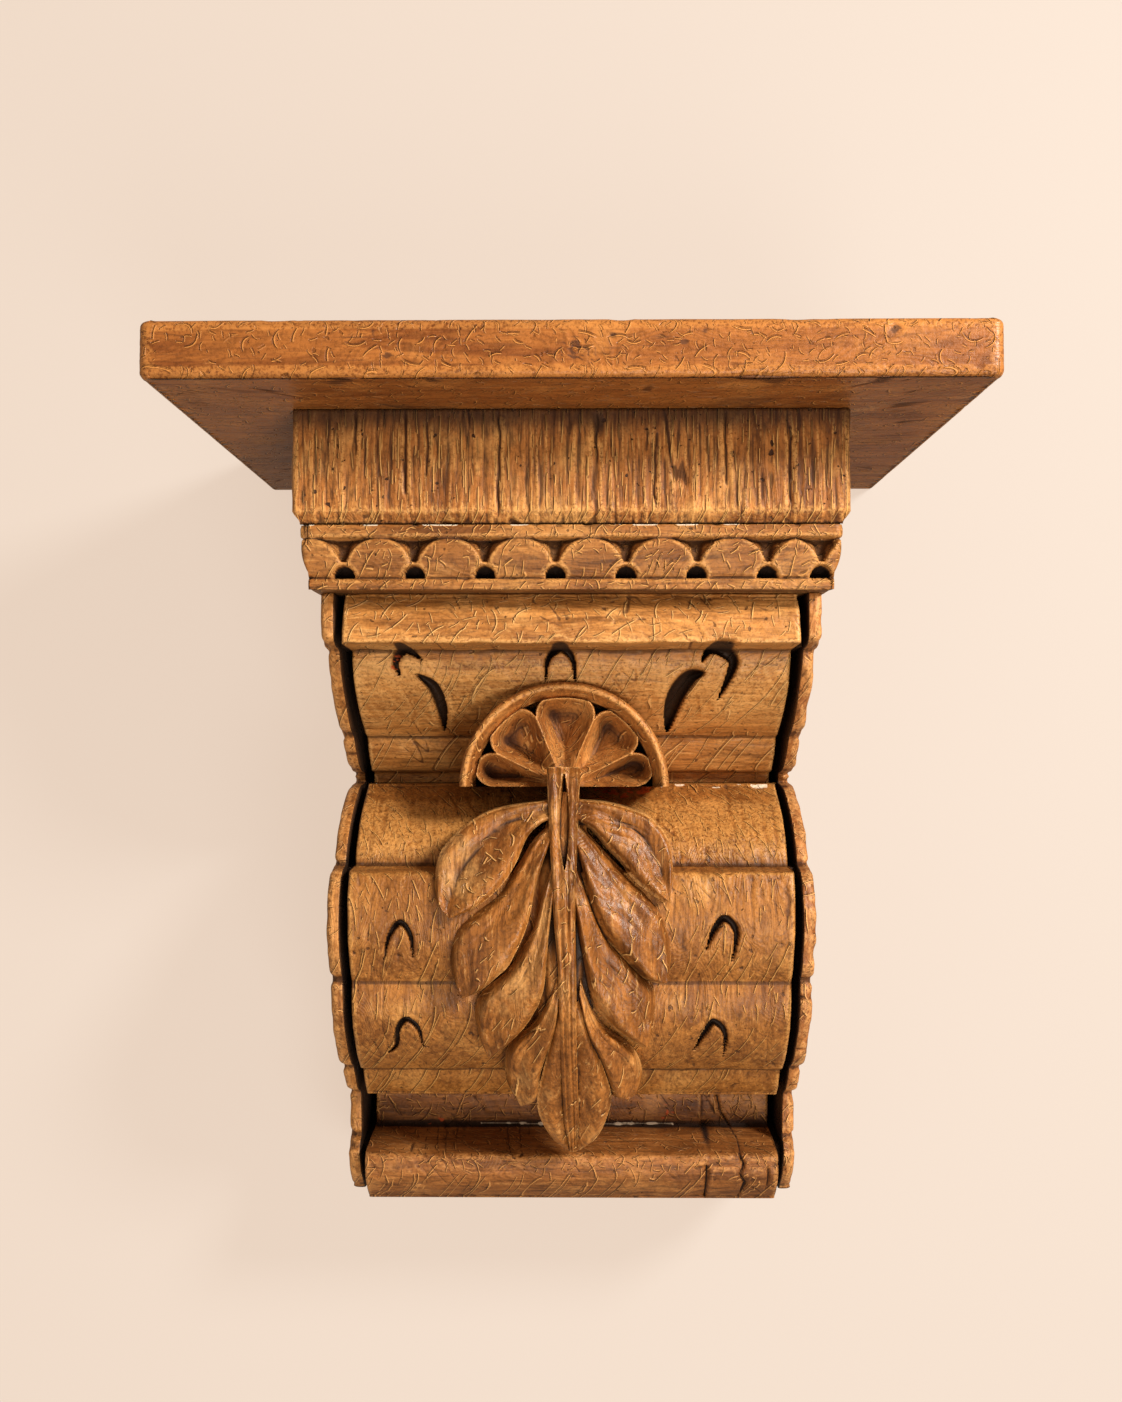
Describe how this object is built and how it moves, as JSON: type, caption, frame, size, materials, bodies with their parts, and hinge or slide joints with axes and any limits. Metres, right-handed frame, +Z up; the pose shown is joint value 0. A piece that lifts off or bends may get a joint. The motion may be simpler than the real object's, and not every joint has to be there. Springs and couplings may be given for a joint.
{
  "type": "carved shelf bracket",
  "caption": "Carved wooden wall bracket: a plain shelf on a corbel scroll with an egg course, a half rosette, a hanging leaf and sawn cheek boards.",
  "frame": {"origin": "on the flat back that rests on the wall, on the centre line, halfway up the bracket", "axes": "+Z up, +Y into the wall, +X to the right of someone facing the bracket, whose front faces -Y"},
  "size_m": [0.366, 0.252, 0.4208],
  "materials": {
    "shelf_wood": "old orange-brown wood, worn smooth, with dents and a low sheen",
    "block_wood": "rough upright grain, dirt in the grain",
    "carved_wood": "golden brown carved wood with fine tool marks, dark in the recesses",
    "foot_wood": "darker brown wood, cracked and patched",
    "cheek_wood": "brown sawn boards with worn edges",
    "leaf_wood": "carved leaf, worn light on its ridges"
  },
  "bodies": {
    "root": {"shelf_board": "shelf_wood", "cap_block": "block_wood", "egg_course": "carved_wood", "upper_scroll": "carved_wood", "belly": "carved_wood", "foot": "foot_wood", "cheek_left": "cheek_wood", "cheek_right": "cheek_wood", "pendant_leaf": "leaf_wood"}
  },
  "joints": []
}
